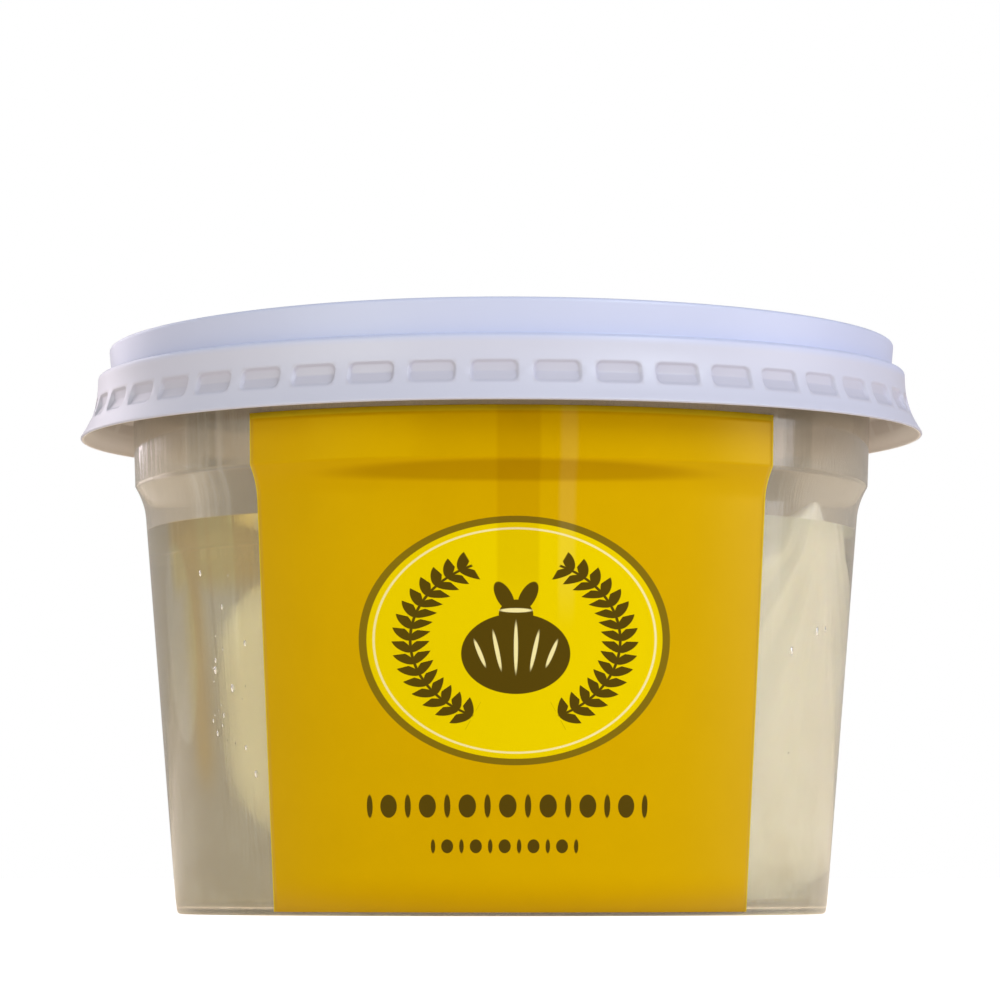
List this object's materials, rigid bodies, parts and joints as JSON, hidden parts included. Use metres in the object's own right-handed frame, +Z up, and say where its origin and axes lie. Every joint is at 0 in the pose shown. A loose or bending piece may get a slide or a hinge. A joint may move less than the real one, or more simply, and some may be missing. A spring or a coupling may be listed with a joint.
{
  "type": "burrata in a clear tub",
  "caption": "Round clear plastic tub with a push-on white lid and yellow wall label, holding a soft cheese ball with a gathered neck in whey.",
  "frame": {"origin": "middle of the tub's foot, on the surface the pack stands on", "axes": "+Z up through the lid, -Y towards the front label, +X to the side where the neck of the cheese lies"},
  "size_m": [0.117, 0.117, 0.0792],
  "materials": {
    "tub_plastic": "clear moulded plastic with a faint frost and fine drag lines",
    "lid_plastic": "cool white moulded plastic, satin",
    "label_film": "printed film, golden yellow with a paler oval",
    "label_film_back": "printed film, seen from behind as a dull tan",
    "cheese": "wet, smooth, creamy white skin with soft pleats",
    "whey": "cloudy pale whey"
  },
  "bodies": {
    "root": {"tub": "tub_plastic", "lid": "lid_plastic", "label_front": "label_film", "label_back": "label_film_back", "burrata": "cheese", "whey": "whey"}
  },
  "joints": []
}
